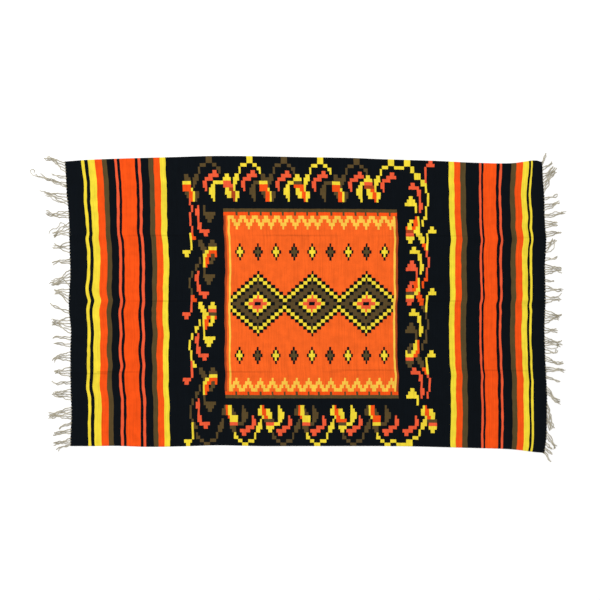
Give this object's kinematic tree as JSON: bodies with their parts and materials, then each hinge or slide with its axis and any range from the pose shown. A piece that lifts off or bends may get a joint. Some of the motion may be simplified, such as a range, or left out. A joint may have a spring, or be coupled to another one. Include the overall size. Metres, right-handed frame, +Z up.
{
  "type": "mexican blanket",
  "caption": "Rectangular hand-woven wool blanket lying flat, with striped ends, a bordered centre panel on a black ground and loose warp fringe at the ends.",
  "frame": {"origin": "centre of the whole outline, fringe included, on the surface that the blanket lies on", "axes": "+X along the blanket's length (the warp), +Y across it from the lower to the upper selvage, +Z up out of the cloth's face"},
  "size_m": [2.1368, 1.234, 0.0068],
  "materials": {
    "wool_tapestry": "matt weft-faced wool weave",
    "cotton_warp": "matt twisted yarn"
  },
  "bodies": {
    "root": {"blanket_cloth": "wool_tapestry", "fringe_left": "cotton_warp", "fringe_right": "cotton_warp"}
  },
  "joints": []
}
